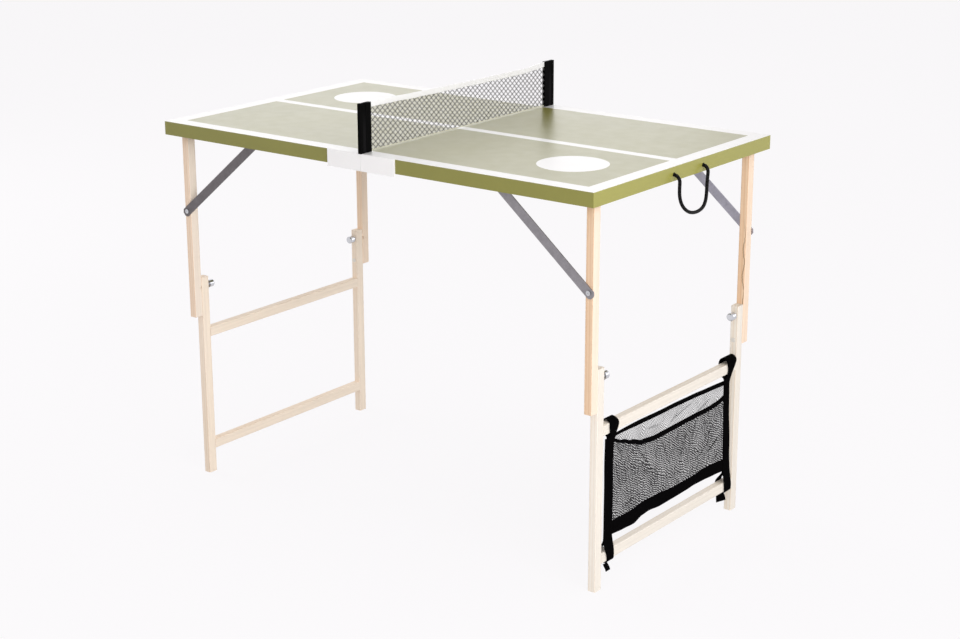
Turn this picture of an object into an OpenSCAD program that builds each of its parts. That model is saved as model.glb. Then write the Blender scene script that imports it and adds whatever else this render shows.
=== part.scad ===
// Folding table tennis table: two hinged halves, a swing-up leg frame at each end,
// flat steel stays, a lift-off net, a rope handle and a net bag on one leg frame.
// X runs along the table, Y across it, Z up from the floor, with the net at X = 0.

/* [Table top] */
// Length of the playing surface
top_length = 1030; // [1010:10:1200]
// Width of the playing surface
top_width = 600; // [540:10:700]
// Height of the playing surface above the floor
top_height = 757; // [747:1:765]
// Thickness of the two painted boards
board_t = 8; // [7:0.5:10]
// Gap between the two halves at the net
seam_gap = 0.6; // [0.4:0.1:1]
// Depth of the painted rails under the boards
rail_h = 19; // [18:0.5:24]
// Thickness of the rails along the long sides
side_rail_t = 22; // [20:0.5:23]
// Thickness of the rails across the ends
end_rail_t = 15; // [12:0.5:16]
// Thickness of the rails beside the seam
centre_rail_t = 20; // [14:1:24]

/* [Seam plates and hinges] */
// Length of one white plate beside the seam
plate_l = 81; // [60:1:120]
// How far the white plates reach below the rails
plate_drop = 5.5; // [5.5:0.5:8]
// Thickness of the white plates
plate_t = 2.5; // [1.5:0.5:3.5]
// Distance of each hinge from the middle of the table
hinge_y = 185; // [120:5:200]
// Length of a hinge
hinge_l = 60; // [40:5:80]
// Width of a hinge leaf
leaf_w = 18; // [12:1:20]
// Thickness of a hinge leaf
leaf_t = 1.6; // [1.2:0.2:1.6]
// Outer radius of the hinge knuckles
knuckle_r = 3.2; // [2.8:0.1:3.4]
// Radius of the hinge pins
hinge_pin_r = 1.6; // [1.2:0.1:2]

/* [Legs] */
// Thickness of legs and frame rails along the table
leg_t = 16; // [14:0.5:16]
// Width of the legs across the table
leg_w = 20; // [16:0.5:22]
// Distance from the table's end to the legs
leg_inset_x = 17; // [16.5:0.5:22]
// Distance from the table's side to the upper legs
leg_inset_y = 28; // [28:0.5:32]
// Rounding of the wooden edges
edge_r = 1.5; // [0.5:0.25:3]
// Length of the lower legs
lower_leg_l = 427; // [420:1:432]
// How far upper and lower legs lie beside each other
leg_overlap = 80; // [76:1:84]
// Gap between an upper leg and the lower leg beside it
joint_gap = 0.3; // [0.2:0.05:0.5]
// Height of the frame rails
frame_rail_h = 20; // [16:1:24]
// Height of the lower frame rail's underside above the floor
low_rail_z = 50; // [40:1:64]
// Gap between the upper frame rail and the height of the lower pin
high_rail_drop = 41; // [20:1:60]
// Radius of the pins that the legs fold on
leg_pin_r = 4; // [3:0.25:5]
// Depth of a leg pin in the side rail
leg_pin_in_rail = 16; // [12:1:17]
// Depth of a leg pin in the leg
leg_pin_in_leg = 15; // [12:0.5:15]
// Radius of the spacer collar on a leg pin
leg_collar_r = 7; // [6:0.5:8]

/* [Leg joints] */
// Height of the lower pin above the upper leg's end
lower_pin_up = 11; // [9:0.5:14]
// Radius of the lower pin
lower_pin_r = 3; // [2.5:0.25:3.5]
// Depth of the lower pin in the upper leg
lower_pin_in = 13; // [10:0.5:14]
// Distance of the knob below the lower leg's end
knob_down = 19; // [14:0.5:22]
// Radius of the knob's stud
stud_r = 3; // [2.5:0.25:3.5]
// How far the stud's tip enters the upper leg
stud_in = 2.5; // [1.5:0.5:4]
// Radius of the knob's head
knob_r = 8; // [7:0.5:9]
// Length of the knob beside the leg
knob_l = 18; // [14:1:22]
// Radius of the knob's collar
knob_collar_r = 4.6; // [4:0.2:5.4]
// Length of the knob's collar
knob_collar_l = 5; // [3:0.5:6]
// Radius of the rounding on the knob's head
knob_round_r = 3; // [1:0.5:4]
// Radius of the pin's and screw's heads
screw_head_r = 4.6; // [4:0.2:5.4]
// Thickness of the pin's and screw's heads
screw_head_t = 1.4; // [1:0.1:1.6]

/* [Stays] */
// Width of the steel strip
stay_w = 18; // [16:1:19]
// Thickness of the steel strip
stay_t = 2; // [1.5:0.1:2.2]
// Distance of the stay's screw below the leg's pin
stay_drop = 167; // [150:1:180]
// Distance of the folded stay's upper pin from the seam
stay_stow = 62; // [50:1:100]
// How far the strip runs past its screw
stay_end = 11; // [9:0.5:13]
// Size of the cut corners at the stay's lower end
stay_corner = 5; // [3:0.5:7]
// Radius of the stay's screw
stay_screw_r = 2.5; // [2:0.25:3]
// Depth of the stay's screw in the leg
stay_screw_in = 12; // [8:1:14]
// Radius of the stay's upper pin
stay_pin_r = 2.5; // [2:0.25:3]
// Thickness of the guide's steel
guide_t = 1.2; // [1:0.1:1.5]
// How far the guide's web reaches below the stay's pin
guide_drop = 5; // [3:0.5:7]

/* [Net] */
// Height of the net above the playing surface
net_h = 93; // [80:1:110]
// Width of a net post across the table
post_w = 30.5; // [28:0.5:40]
// Thickness of a net post
post_t = 7; // [5:0.5:10]
// How far the posts stand out past the table's side
post_over = 4; // [3:0.5:6]
// Depth of the slot that holds the net's end
post_slot_d = 8; // [6:1:14]
// Width of the slot that holds the net's end
post_slot_w = 2.6; // [2.4:0.1:3.4]
// Width of the groove on the posts' faces
post_groove_w = 9; // [5:1:10]
// Depth of the groove on the posts' faces
post_groove_d = 0.8; // [0.4:0.1:1]
// Distance of the groove from the post's outer edge
post_groove_in = 7; // [5:1:9]
// Width of the tongue under a post
tongue_w = 16; // [12:1:18]
// Thickness of the tongue under a post
tongue_t = 4; // [3:0.5:5]
// Height of the white tape along the net's top
tape_h = 10.5; // [8:0.5:14]
// Thickness of the tape
tape_t = 2.4; // [1.6:0.1:2.4]
// Gap under the net
net_gap = 1.5; // [0.5:0.5:4]
// Height of the hem along the net's foot
hem_h = 2; // [1.5:0.5:4]
// Thickness of the hem
hem_t = 1.8; // [1.2:0.1:2.4]
// Thickness of the mesh
mesh_t = 1; // [0.6:0.1:1.4]
// Width of a strand of the mesh
strand_w = 1.1; // [0.8:0.1:1.6]
// Diamonds in a row of the mesh
mesh_columns = 33; // [20:1:33]
// Rows of diamonds in the mesh
mesh_rows = 5; // [3:1:5]

/* [Rope handle] */
// Diameter of the rope
rope_d = 6.5; // [5:0.5:7]
// Distance between the two rope holes
rope_spacing = 100; // [80:5:120]
// Distance of the handle's middle from the table's middle
rope_y = 3; // [0:1:10]
// Height of the rope holes above the rail's underside
rope_up = 12; // [10:0.5:12]
// Radius of the knots behind the end rail
knot_r = 5.5; // [5:0.25:6]
// Depth of the hollow that holds a knot
knot_depth = 9; // [7:0.5:10]

/* [Net bag] */
// Gap between the bag's side and the lower leg
bag_side_gap = 9.2; // [8:0.1:20]
// How far the bag hangs off the frame's middle, along the rails
bag_shift = -6.5; // [-7:0.5:7]
// Gap between the bag's rim and the upper frame rail
bag_rim_gap = 6; // [5:1:30]
// Gap between the bag's foot and the lower frame rail
bag_foot_gap = 27; // [10:1:30]
// Thickness of the bag's walls
bag_t = 1.6; // [1:0.1:2.5]
// How far the bag's outer rim lies below its inner rim
bag_front_drop = 42; // [10:1:60]
// Width of the bag's straps
strap_w = 28; // [20:1:34]
// Thickness of the bag's straps
strap_t = 1.4; // [1:0.1:1.5]

/* [Hidden] */
$fn = 48;
eps = 0.01;

// Radial play of pins and screws in their holes
fit = 0.05;
// Play between pieces that move past each other or plug together
play = 0.3;
// Play between a strap or rope and what it goes round or through
soft_play = 0.2;

green = "#8f8a4e";
white = "#f1efec";
pine = "#e3c19c";
pale_pine = "#f2e2cc";
steel = "#8e8a92";
chrome = "#c9c9cd";
black = "#151314";

seam_x = seam_gap / 2;
end_x = top_length / 2;
side_y = top_width / 2;
board_z = top_height - board_t;
rail_z = board_z - rail_h;
fold_z = rail_z - plate_drop;
plate_h = top_height - fold_z;

leg_x = end_x - leg_inset_x - leg_t / 2;
pivot_z = rail_z + leg_t / 2;
rail_in_y = side_y - side_rail_t;
leg_out_y = side_y - leg_inset_y;
leg_in_y = leg_out_y - leg_w;
lower_out_y = leg_in_y - joint_gap;
lower_in_y = lower_out_y - leg_w;
upper_leg_z = lower_leg_l - leg_overlap;
lower_pin_z = upper_leg_z + lower_pin_up;
knob_z = lower_leg_l - knob_down;
knob_arm = knob_z - lower_pin_z;
high_rail_z = lower_pin_z - high_rail_drop - frame_rail_h;

stay_l = leg_x - stay_drop - stay_stow;
stay_reach = sqrt(stay_l * stay_l - stay_drop * stay_drop);
stay_rise = atan2(stay_drop, stay_reach);
stay_z = pivot_z - stay_drop;
stay_in_y = leg_out_y + play;
stay_out_y = stay_in_y + stay_t;
catch_x = leg_x - stay_reach;
guide_in_y = stay_out_y + play;
guide_web_y = rail_in_y - guide_t;
guide_z = pivot_z + stay_pin_r + play;
guide_foot_z = pivot_z - guide_drop;

post_out_y = side_y + post_over;
post_in_y = post_out_y - post_w;
post_slot_y = post_in_y + post_slot_d;
tongue_y = (post_in_y + post_out_y - tongue_w) / 2;
net_top_z = top_height + net_h;
tape_z = net_top_z - tape_h;
hem_z = top_height + net_gap;
mesh_z = hem_z + hem_h;

rope_z = rail_z + rope_up;
// The handle's route from hole to hole, starting from the middle between the holes
rope_route = [
    [0, -50, 0], [1, -50, 0], [5.5, -49.8, -1.2], [9, -49.3, -4], [11.3, -48.8, -8],
    [12, -48.2, -13], [11.5, -47.7, -24], [11.5, -46.7, -38], [13, -43.5, -51],
    [15.5, -36.5, -62], [18, -24.5, -70.5], [19, -8.5, -74.5], [19, 8.5, -74.5],
    [18, 24.5, -70.5], [15.5, 36.5, -62], [13, 43.5, -51], [11.5, 46.7, -38],
    [11.5, 47.7, -24], [12, 48.2, -13], [11.3, 48.8, -8], [9, 49.3, -4], [5.5, 49.8, -1.2],
    [1, 50, 0], [0, 50, 0]];
rope_sides = 10;

bag_half_y = lower_in_y - bag_side_gap;
bag_rim_z = high_rail_z - bag_rim_gap;
bag_foot_z = low_rail_z + frame_rail_h + bag_foot_gap;
strap_half_x = leg_t / 2 + soft_play;
bag_half_x = strap_half_x + strap_t;

ENDS = ["left", "right"];
SIDES = ["front", "back"];
HALF_PIECES = ["board", "front_rail", "back_rail", "end_rail", "centre_rail", "front_seam_plate",
    "back_seam_plate", "hinge_leaves", "leg_pins", "stay_guides"];
FRAME_PIECES = ["front_upper_leg", "back_upper_leg", "leg_crossbar", "stay_screws",
    "front_lower_leg", "back_lower_leg", "upper_frame_rail", "lower_frame_rail", "lower_pins",
    "front_stay", "back_stay", "front_knob", "back_knob"];

// Pieces are drawn for the right end and the back, and mirrored to the other places.
module at_end(end) {
    mirror([end == "left" ? 1 : 0, 0, 0]) children();
}

module at_side(side) {
    mirror([0, side == "front" ? 1 : 0, 0]) children();
}

module both_sides() {
    for (side = SIDES) at_side(side) children();
}

// Draws in the plane of X and Z, with heights running along Y from y outwards.
module across(y) {
    translate([0, y, 0]) rotate([90, 0, 0]) mirror([0, 0, 1]) children();
}

module rounded_rectangle(size, r) {
    translate([r, 0]) square([size[0] - 2 * r, size[1]]);
    translate([0, r]) square([size[0], size[1] - 2 * r]);
    for (x = [r, size[0] - r]) for (y = [r, size[1] - r]) translate([x, y]) circle(r);
}

module board(end) {
    color(green) at_end(end) difference() {
        translate([seam_x, -side_y, board_z]) cube([end_x - seam_x, top_width, board_t]);
        both_sides() translate([0, tongue_y - play, board_z - eps])
            cube([tongue_t / 2 + play, tongue_w + 2 * play, board_t + 2 * eps]);
    }
}

module side_rail(end, side) {
    color(green) at_end(end) at_side(side) difference() {
        translate([seam_x, rail_in_y, rail_z])
            cube([end_x - end_rail_t - seam_x, side_rail_t, rail_h]);
        across(rail_in_y - eps) translate([leg_x, pivot_z])
            cylinder(r = leg_pin_r + fit, h = leg_pin_in_rail + eps);
    }
}

module end_rail(end) {
    color(green) at_end(end) difference() {
        translate([end_x - end_rail_t, -side_y, rail_z]) cube([end_rail_t, top_width, rail_h]);
        if (end == "right") for (y = [-1, 1] * rope_spacing / 2)
            translate([end_x - end_rail_t, rope_y + y, rope_z]) rotate([0, 90, 0]) {
                translate([0, 0, -eps]) cylinder(r = knot_r + play, h = knot_depth + eps);
                cylinder(r = rope_d / 2 + soft_play, h = end_rail_t + eps);
            }
    }
}

module centre_rail(end) {
    color(green) at_end(end)
        translate([seam_x, -rail_in_y, rail_z]) cube([centre_rail_t, 2 * rail_in_y, rail_h]);
}

module seam_plate(end, side) {
    color(white) at_end(end) at_side(side)
        translate([seam_x, side_y, fold_z]) cube([plate_l - seam_x, plate_t, plate_h]);
}

// Knuckles 0, 2 and 4 belong to the left half and knuckles 1 and 3 to the right half.
module hinge_leaf(end) {
    knuckle_l = hinge_l / 5;
    first = end == "left" ? 0 : 1;
    translate([seam_x, -hinge_l / 2, rail_z - leaf_t]) cube([leaf_w, hinge_l, leaf_t]);
    difference() {
        for (i = [first:2:4]) translate([0, (i - 2.5) * knuckle_l + play / 2, 0]) {
            translate([seam_x, 0, fold_z])
                cube([knuckle_r - seam_x, knuckle_l - play, rail_z - fold_z - eps]);
            across(0) translate([0, fold_z]) cylinder(r = knuckle_r, h = knuckle_l - play);
        }
        across(-hinge_l / 2) translate([0, fold_z]) cylinder(r = hinge_pin_r + fit, h = hinge_l);
    }
}

module hinge_leaves(end) {
    color(steel) at_end(end) both_sides() translate([0, hinge_y, 0]) hinge_leaf(end);
}

module hinge_pins() {
    color(chrome) both_sides() across(hinge_y - hinge_l / 2) translate([0, fold_z])
        cylinder(r = hinge_pin_r, h = hinge_l);
}

module leg_pins(end) {
    color(steel) at_end(end) both_sides() translate([leg_x, 0, pivot_z]) {
        across(leg_out_y - leg_pin_in_leg)
            cylinder(r = leg_pin_r, h = leg_pin_in_leg + leg_inset_y - side_rail_t + leg_pin_in_rail);
        across(leg_out_y + play) cylinder(r = leg_collar_r, h = leg_inset_y - side_rail_t - play);
    }
}

module stay_guides(end) {
    guide_l = catch_x + stay_pin_r + play + guide_t - stay_stow + stay_w / 2;
    color(steel) at_end(end) both_sides() translate([stay_stow - stay_w / 2, 0, 0]) {
        translate([0, guide_web_y, guide_foot_z])
            cube([guide_l, guide_t, guide_z + guide_t - guide_foot_z]);
        translate([0, guide_in_y, guide_z]) cube([guide_l, rail_in_y - guide_in_y, guide_t]);
        translate([guide_l - guide_t, guide_in_y, guide_foot_z])
            cube([guide_t, rail_in_y - guide_in_y, guide_z - guide_foot_z + eps]);
    }
}

// The arc that the knob's stud follows in the upper leg while the lower frame folds up.
module stud_groove() {
    groove_r = stud_r + fit;
    exit_angle = asin((leg_t / 2 + groove_r + play) / knob_arm);
    across(leg_in_y - eps) translate([leg_x, lower_pin_z]) {
        translate([0, knob_arm]) cylinder(r = groove_r, h = stud_in + play + eps);
        rotate([0, 0, 90]) rotate_extrude(angle = exit_angle)
            translate([knob_arm - groove_r, 0]) square([2 * groove_r, stud_in + play + eps]);
    }
}

module upper_leg(end, side) {
    color(pine) at_end(end) at_side(side) difference() {
        union() {
            translate([leg_x - leg_t / 2, leg_in_y, upper_leg_z])
                linear_extrude(pivot_z - upper_leg_z) rounded_rectangle([leg_t, leg_w], edge_r);
            across(leg_in_y) translate([leg_x, pivot_z]) cylinder(r = leg_t / 2, h = leg_w);
        }
        across(leg_out_y - leg_pin_in_leg - play) translate([leg_x, pivot_z])
            cylinder(r = leg_pin_r + fit, h = leg_pin_in_leg + play + eps);
        across(leg_out_y - stay_screw_in) translate([leg_x, stay_z])
            cylinder(r = stay_screw_r + fit, h = stay_screw_in + eps);
        across(leg_in_y - eps) translate([leg_x, lower_pin_z])
            cylinder(r = lower_pin_r + fit, h = lower_pin_in + play + eps);
        stud_groove();
    }
}

module leg_crossbar(end) {
    color(pine) at_end(end) across(-leg_in_y) translate([leg_x, pivot_z])
        cylinder(r = leg_t / 2, h = 2 * leg_in_y);
}

module lower_leg(end, side) {
    color(pale_pine) at_end(end) at_side(side) difference() {
        translate([leg_x - leg_t / 2, lower_in_y, 0])
            linear_extrude(lower_leg_l) rounded_rectangle([leg_t, leg_w], edge_r);
        across(lower_in_y - eps) {
            translate([leg_x, knob_z]) cylinder(r = stud_r + fit, h = leg_w + 2 * eps);
            translate([leg_x, lower_pin_z]) cylinder(r = lower_pin_r + fit, h = leg_w + 2 * eps);
        }
    }
}

module frame_rail(end, z) {
    color(pale_pine) at_end(end) across(-lower_in_y) translate([leg_x - leg_t / 2, z])
        linear_extrude(2 * lower_in_y) rounded_rectangle([leg_t, frame_rail_h], edge_r);
}

module lower_pins(end) {
    color(steel) at_end(end) both_sides() translate([leg_x, 0, lower_pin_z]) {
        across(lower_in_y - screw_head_t) cylinder(r = screw_head_r, h = screw_head_t);
        across(lower_in_y) cylinder(r = lower_pin_r, h = leg_w + joint_gap + lower_pin_in);
    }
}

module stay(end, side) {
    color(steel) at_end(end) at_side(side) across(stay_in_y) translate([leg_x, stay_z])
        rotate([0, 0, 180 - stay_rise]) {
            difference() {
                union() {
                    linear_extrude(stay_t) polygon([
                        [stay_l, stay_w / 2], [stay_corner - stay_end, stay_w / 2],
                        [-stay_end, stay_w / 2 - stay_corner], [-stay_end, stay_corner - stay_w / 2],
                        [stay_corner - stay_end, -stay_w / 2], [stay_l, -stay_w / 2]]);
                    translate([stay_l, 0]) cylinder(r = stay_w / 2, h = stay_t);
                }
                translate([0, 0, -eps]) cylinder(r = stay_screw_r + fit, h = stay_t + 2 * eps);
            }
            translate([stay_l, 0]) cylinder(r = stay_pin_r, h = guide_web_y - play - stay_in_y);
        }
}

module stay_screws(end) {
    color(chrome) at_end(end) both_sides() translate([leg_x, 0, stay_z]) {
        across(leg_out_y - stay_screw_in)
            cylinder(r = stay_screw_r, h = stay_screw_in + stay_out_y - leg_out_y + play);
        across(stay_out_y + play) cylinder(r = screw_head_r, h = screw_head_t);
    }
}

module knob(end, side) {
    head_l = knob_l - knob_collar_l;
    color(chrome) at_end(end) at_side(side) translate([leg_x, 0, knob_z]) {
        across(lower_in_y - play - knob_collar_l)
            cylinder(r = stud_r, h = leg_in_y + stud_in - lower_in_y + play + knob_collar_l);
        across(lower_in_y - play - knob_collar_l) cylinder(r = knob_collar_r, h = knob_collar_l);
        across(lower_in_y - play - knob_collar_l) mirror([0, 0, 1]) rotate_extrude() {
            square([knob_r - knob_round_r, head_l]);
            square([knob_r, head_l - knob_round_r]);
            translate([knob_r - knob_round_r, head_l - knob_round_r]) circle(knob_round_r);
        }
    }
}

module net_post(side) {
    color(black) at_side(side) {
        difference() {
            translate([-post_t / 2, post_in_y, top_height]) cube([post_t, post_w, net_h]);
            translate([-post_slot_w / 2, post_in_y - eps, top_height - eps])
                cube([post_slot_w, post_slot_d + eps, net_h + 2 * eps]);
            for (x = [-post_t / 2 - eps, post_t / 2 - post_groove_d])
                translate([x, post_out_y - post_groove_in - post_groove_w, top_height - eps])
                    cube([post_groove_d + eps, post_groove_w, net_h + 2 * eps]);
        }
        translate([-tongue_t / 2, tongue_y, board_z + play])
            cube([tongue_t, tongue_w, board_t - play + eps]);
    }
}

module net_bar(z, h, t) {
    translate([-t / 2, -post_slot_y, z]) cube([t, 2 * post_slot_y, h]);
}

module net_tape() {
    color(white) net_bar(tape_z, tape_h, tape_t);
}

module net_hem() {
    color(white) net_bar(hem_z, hem_h, hem_t);
}

// A flat mesh of diamond gaps, with the gaps between four diamonds open as well.
module net_mesh() {
    span_y = 2 * post_in_y;
    span_z = tape_z - mesh_z;
    pitch_y = span_y / mesh_columns;
    pitch_z = span_z / mesh_rows;
    half_y = pitch_y / 2 - strand_w / sqrt(2);
    half_z = pitch_z / 2 - strand_w / sqrt(2);
    color("#4a4a48") translate([-mesh_t / 2, 0, 0]) rotate([90, 0, 90]) linear_extrude(mesh_t)
        difference() {
            translate([-post_slot_y, mesh_z]) square([2 * post_slot_y, span_z]);
            for (row = [0:2 * mesh_rows - 2]) for (i = [0:mesh_columns - 1 - row % 2])
                translate([(i + (1 + row % 2) / 2) * pitch_y - span_y / 2,
                        mesh_z + (row + 1) / 2 * pitch_z])
                    polygon([[half_y, 0], [0, half_z], [-half_y, 0], [0, -half_z]]);
        }
}

module rope_knots() {
    color(black) for (y = [-1, 1] * rope_spacing / 2)
        translate([end_x - end_rail_t, rope_y + y, rope_z]) rotate([0, 90, 0]) {
            translate([0, 0, play]) cylinder(r = knot_r, h = knot_depth - play);
            cylinder(r = rope_d / 2, h = end_rail_t);
        }
}

function rope_point(i) = [end_x, rope_y, rope_z]
    + [rope_route[i][0], rope_route[i][1] * rope_spacing / 100, rope_route[i][2]];

function rope_heading(i) =
    let (step = rope_point(min(i + 1, len(rope_route) - 1)) - rope_point(max(i - 1, 0)))
    step / norm(step);

// The points round the rope at point i of its route, square to its heading there.
function rope_ring(i) =
    let (d = rope_heading(i), side = cross(d, [1, -1, 1]), u = side / norm(side), v = cross(d, u))
    [for (k = [0:rope_sides - 1])
        let (a = 360 * k / rope_sides) rope_point(i) + rope_d / 2 * (cos(a) * u + sin(a) * v)];

module handle_rope() {
    last = len(rope_route) - 1;
    color(black) polyhedron(
        points = [for (i = [0:last]) each rope_ring(i)],
        faces = concat(
            [[for (k = [0:rope_sides - 1]) k]],
            [[for (k = [1:rope_sides]) (last + 1) * rope_sides - k]],
            [for (i = [0:last - 1]) for (k = [0:rope_sides - 1])
                let (a = i * rope_sides, b = a + rope_sides, m = (k + 1) % rope_sides)
                each [[a + k, b + k, b + m], [a + k, b + m, a + m]]]),
        convexity = 6);
}

module bag_pocket() {
    color(black) translate([leg_x, bag_shift, 0]) difference() {
        translate([-bag_half_x, -bag_half_y, bag_foot_z])
            cube([2 * bag_half_x, 2 * bag_half_y, bag_rim_z - bag_foot_z]);
        translate([bag_t - bag_half_x, bag_t - bag_half_y, bag_foot_z + bag_t])
            cube([2 * (bag_half_x - bag_t), 2 * (bag_half_y - bag_t), bag_rim_z]);
        translate([0, strap_w - bag_half_y, bag_rim_z - bag_front_drop])
            cube([2 * bag_half_x, 2 * (bag_half_y - strap_w), bag_rim_z]);
    }
}

// A strap's loop between two heights, and its turn round a rail at height turn_z.
module bag_strap(low, high, turn_z) {
    for (x = [-bag_half_x, strap_half_x])
        translate([leg_x + x, 0, low]) cube([strap_t, strap_w, high - low]);
    translate([leg_x - bag_half_x, 0, turn_z]) cube([2 * bag_half_x, strap_w, strap_t]);
}

module bag_straps() {
    over_z = high_rail_z + frame_rail_h + soft_play;
    under_z = low_rail_z - soft_play - strap_t;
    color(black) translate([0, bag_shift, 0]) both_sides()
        translate([0, bag_half_y - strap_w, 0]) {
        bag_strap(bag_rim_z, over_z + strap_t, over_z);
        bag_strap(under_z, bag_foot_z, under_z);
    }
}

board("left");  // left_board
side_rail("left", "front");  // left_front_rail
side_rail("left", "back");  // left_back_rail
end_rail("left");  // left_end_rail
centre_rail("left");  // left_centre_rail
seam_plate("left", "front");  // left_front_seam_plate
seam_plate("left", "back");  // left_back_seam_plate
hinge_leaves("left");  // left_hinge_leaves
leg_pins("left");  // left_leg_pins
stay_guides("left");  // left_stay_guides
upper_leg("left", "front");  // left_front_upper_leg
upper_leg("left", "back");  // left_back_upper_leg
leg_crossbar("left");  // left_leg_crossbar
stay_screws("left");  // left_stay_screws
lower_leg("left", "front");  // left_front_lower_leg
lower_leg("left", "back");  // left_back_lower_leg
frame_rail("left", high_rail_z);  // left_upper_frame_rail
frame_rail("left", low_rail_z);  // left_lower_frame_rail
lower_pins("left");  // left_lower_pins
stay("left", "front");  // left_front_stay
stay("left", "back");  // left_back_stay
knob("left", "front");  // left_front_knob
knob("left", "back");  // left_back_knob
board("right");  // right_board
side_rail("right", "front");  // right_front_rail
side_rail("right", "back");  // right_back_rail
end_rail("right");  // right_end_rail
centre_rail("right");  // right_centre_rail
seam_plate("right", "front");  // right_front_seam_plate
seam_plate("right", "back");  // right_back_seam_plate
hinge_leaves("right");  // right_hinge_leaves
leg_pins("right");  // right_leg_pins
stay_guides("right");  // right_stay_guides
upper_leg("right", "front");  // right_front_upper_leg
upper_leg("right", "back");  // right_back_upper_leg
leg_crossbar("right");  // right_leg_crossbar
stay_screws("right");  // right_stay_screws
lower_leg("right", "front");  // right_front_lower_leg
lower_leg("right", "back");  // right_back_lower_leg
frame_rail("right", high_rail_z);  // right_upper_frame_rail
frame_rail("right", low_rail_z);  // right_lower_frame_rail
lower_pins("right");  // right_lower_pins
stay("right", "front");  // right_front_stay
stay("right", "back");  // right_back_stay
knob("right", "front");  // right_front_knob
knob("right", "back");  // right_back_knob
hinge_pins();
net_post("front");  // front_net_post
net_post("back");  // back_net_post
net_mesh();
net_tape();
net_hem();
rope_knots();
handle_rope();
bag_pocket();
bag_straps();
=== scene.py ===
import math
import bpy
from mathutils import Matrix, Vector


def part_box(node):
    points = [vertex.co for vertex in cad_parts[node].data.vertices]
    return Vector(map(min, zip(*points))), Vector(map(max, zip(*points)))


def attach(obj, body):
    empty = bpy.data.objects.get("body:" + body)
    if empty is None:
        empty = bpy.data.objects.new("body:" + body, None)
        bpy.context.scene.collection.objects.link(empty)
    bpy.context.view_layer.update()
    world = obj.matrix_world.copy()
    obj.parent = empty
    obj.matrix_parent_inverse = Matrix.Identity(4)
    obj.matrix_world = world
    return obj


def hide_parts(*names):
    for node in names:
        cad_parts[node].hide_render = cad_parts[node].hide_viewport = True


bl_info = {
    "name": "Folding Table Tennis Table",
    "version": (1, 0),
    "blender": (4, 5, 0),
    "location": "3D View > Sidebar > Table",
    "description": "Finishes, net, rope handle and net bag of a small folding table",
    "category": "Object",
}

from functools import partialmethod

import bmesh
import bpy
from mathutils import Matrix, Vector

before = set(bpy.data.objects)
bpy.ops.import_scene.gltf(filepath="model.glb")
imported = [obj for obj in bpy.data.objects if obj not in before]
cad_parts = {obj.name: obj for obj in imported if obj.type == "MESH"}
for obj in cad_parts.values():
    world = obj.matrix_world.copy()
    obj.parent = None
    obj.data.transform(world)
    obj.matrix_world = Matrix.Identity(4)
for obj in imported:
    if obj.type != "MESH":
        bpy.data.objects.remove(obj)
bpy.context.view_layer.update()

MM = 0.001
TURN = 2 * math.pi
ENDS = ("left", "right")
TOP_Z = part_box("left_board")[1].z
HALF_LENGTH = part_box("right_board")[1].x
HALF_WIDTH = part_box("right_board")[1].y
# Where the two plain white discs lie, in metres from the middle of the top.
DISCS = ((0.359, -0.1365), (-0.363, 0.134))

# The rope's route from its first hole to its lowest point, in millimetres from the middle
# between the holes. The other half is the same, turned round.
ROPE_MIDDLE = Vector((515, 3, 742)) * MM
ROPE_HALF = (
    (0, -50, 0), (1, -50, 0), (5.5, -49.8, -1.2), (9, -49.3, -4), (11.3, -48.8, -8),
    (12, -48.2, -13), (11.5, -47.7, -24), (11.5, -46.7, -38), (13, -43.5, -51),
    (15.5, -36.5, -62), (18, -24.5, -70.5), (19, -8.5, -74.5),
)

# The bag's measures, all in millimetres. Heights of the two rims, and of the bottom
# band's edges, along Y.
FRONT_RIM = ((-203, 284), (-169, 273), (-142, 264), (-102, 253), (-57, 248.5), (0, 249),
             (84, 250.5), (120, 250), (160, 252), (192, 259))
BACK_RIM = ((-203, 292), (-112, 293.5), (-10, 292), (73, 290), (134, 288.5), (192, 287))
BAND_LOW = ((-205, 98.5), (-163, 96), (-130, 94.5), (-98, 102), (-79, 103.5), (-38, 100.2),
            (8, 100.8), (60, 101.8), (80, 103.2), (115, 102.3), (160, 100), (195, 97.5))
BAND_HIGH = ((-205, 125), (-136, 124.5), (-91, 129), (-51, 127.5), (7, 124), (67, 123.5),
             (128, 126.5), (195, 122.5))
# Creases of the empty nets: two ends along and up, width and depth.
CREASES = (((-190, 270), (-162, 227), 4.5, 0.8), ((-162, 227), (-150, 170), 4.5, 0.8),
           ((-192, 235), (-166, 150), 4, -0.6), ((-168, 139), (-105, 150), 4, 0.6),
           ((187, 182), (83, 134), 5, 0.9), ((162, 215), (100, 165), 5.5, -0.8),
           ((146, 184), (80, 145), 4.5, 0.7), ((197, 150), (128, 126), 4, 0.7),
           ((-40, 238), (10, 150), 5, 0.6), ((60, 235), (20, 140), 5, -0.5),
           ((-95, 240), (-75, 165), 4.5, -0.5))
BACK_CREASES = (((75, 272), (-8, 253), 4, 0.6), ((28, 268), (-15, 242), 4, -0.5),
                ((-40, 262), (-98, 268), 4, 0.5), ((140, 262), (80, 238), 4.5, 0.6),
                ((-120, 250), (-40, 160), 5, 0.6), ((100, 230), (60, 130), 5, -0.6))
# The two side webbings: height, middle and width, from the foot up.
SIDE_WEBBINGS = (((90, -215, 28), (140, -215, 28), (215, -215, 28), (291, -215.5, 28)),
                 ((92, 205, 26), (140, 202, 25), (215, 198, 22), (289, 194, 21)))
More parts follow.
